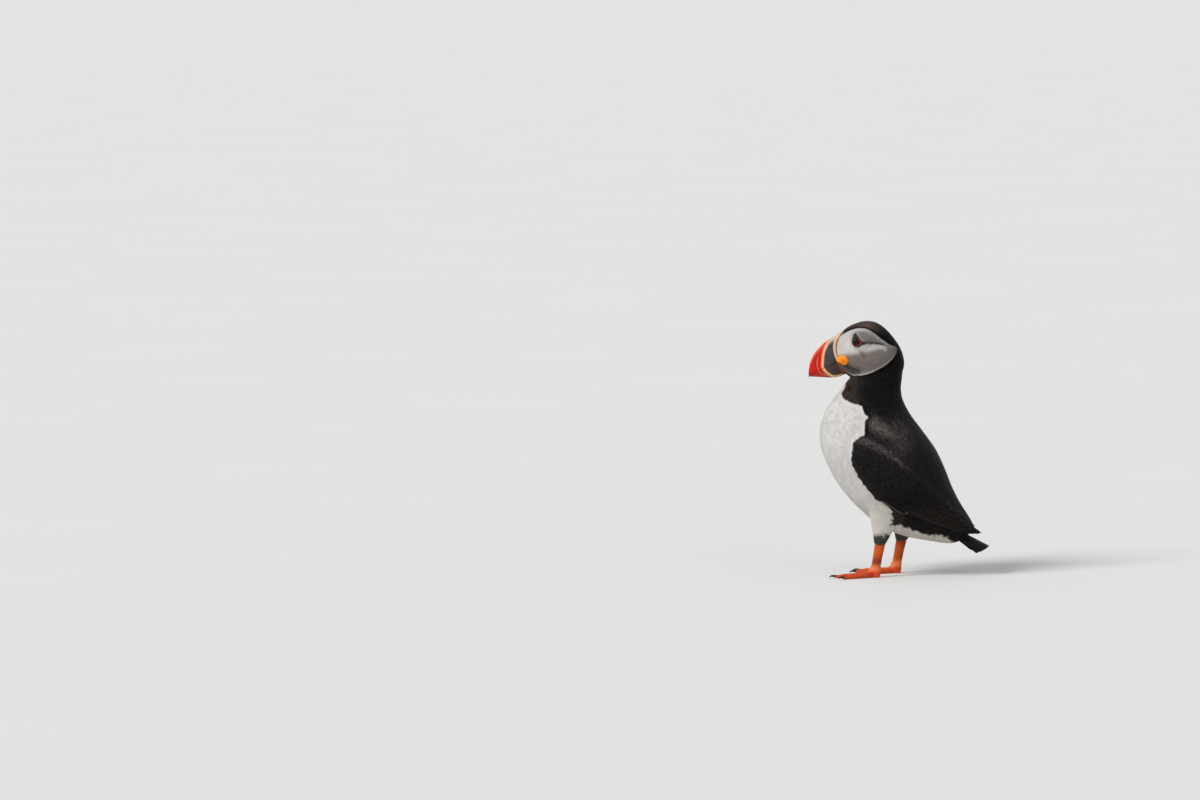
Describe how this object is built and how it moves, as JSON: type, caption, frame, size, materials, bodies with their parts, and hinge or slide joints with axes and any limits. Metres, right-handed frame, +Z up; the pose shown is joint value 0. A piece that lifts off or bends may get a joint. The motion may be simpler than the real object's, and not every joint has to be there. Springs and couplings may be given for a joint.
{
  "type": "atlantic puffin",
  "caption": "Life-size still model of an Atlantic puffin standing upright on both webbed feet, with folded wings and a deep banded bill.",
  "frame": {"origin": "on the floor, under the middle of the bird's bounding box", "axes": "+Z up, -X the way the bird faces, -Y towards its left side"},
  "size_m": [0.1638, 0.1038, 0.2296],
  "materials": {
    "face_feather": "matte",
    "white_feather": "matte",
    "black_feather": "matte",
    "mantle_feather": "satin",
    "wing_feather": "satin",
    "bill_horn": "satin",
    "gape_skin": "satin",
    "leg_skin": "satin",
    "claw_horn": "satin",
    "eye": "gloss"
  },
  "bodies": {
    "root": {"head": "face_feather", "neck": "black_feather", "trunk": "mantle_feather", "bill_upper": "bill_horn", "bill_lower": "bill_horn", "tail": "black_feather", "eye_left": "eye", "eye_right": "eye", "rosette_left": "gape_skin", "rosette_right": "gape_skin", "wing_left": "wing_feather", "wing_right": "wing_feather", "shank_left": "white_feather", "shank_right": "white_feather", "tarsus_left": "leg_skin", "tarsus_right": "leg_skin", "foot_left": "leg_skin", "foot_right": "leg_skin", "claw_inner_left": "claw_horn", "claw_middle_left": "claw_horn", "claw_outer_left": "claw_horn", "claw_inner_right": "claw_horn", "claw_middle_right": "claw_horn", "claw_outer_right": "claw_horn"}
  },
  "joints": []
}
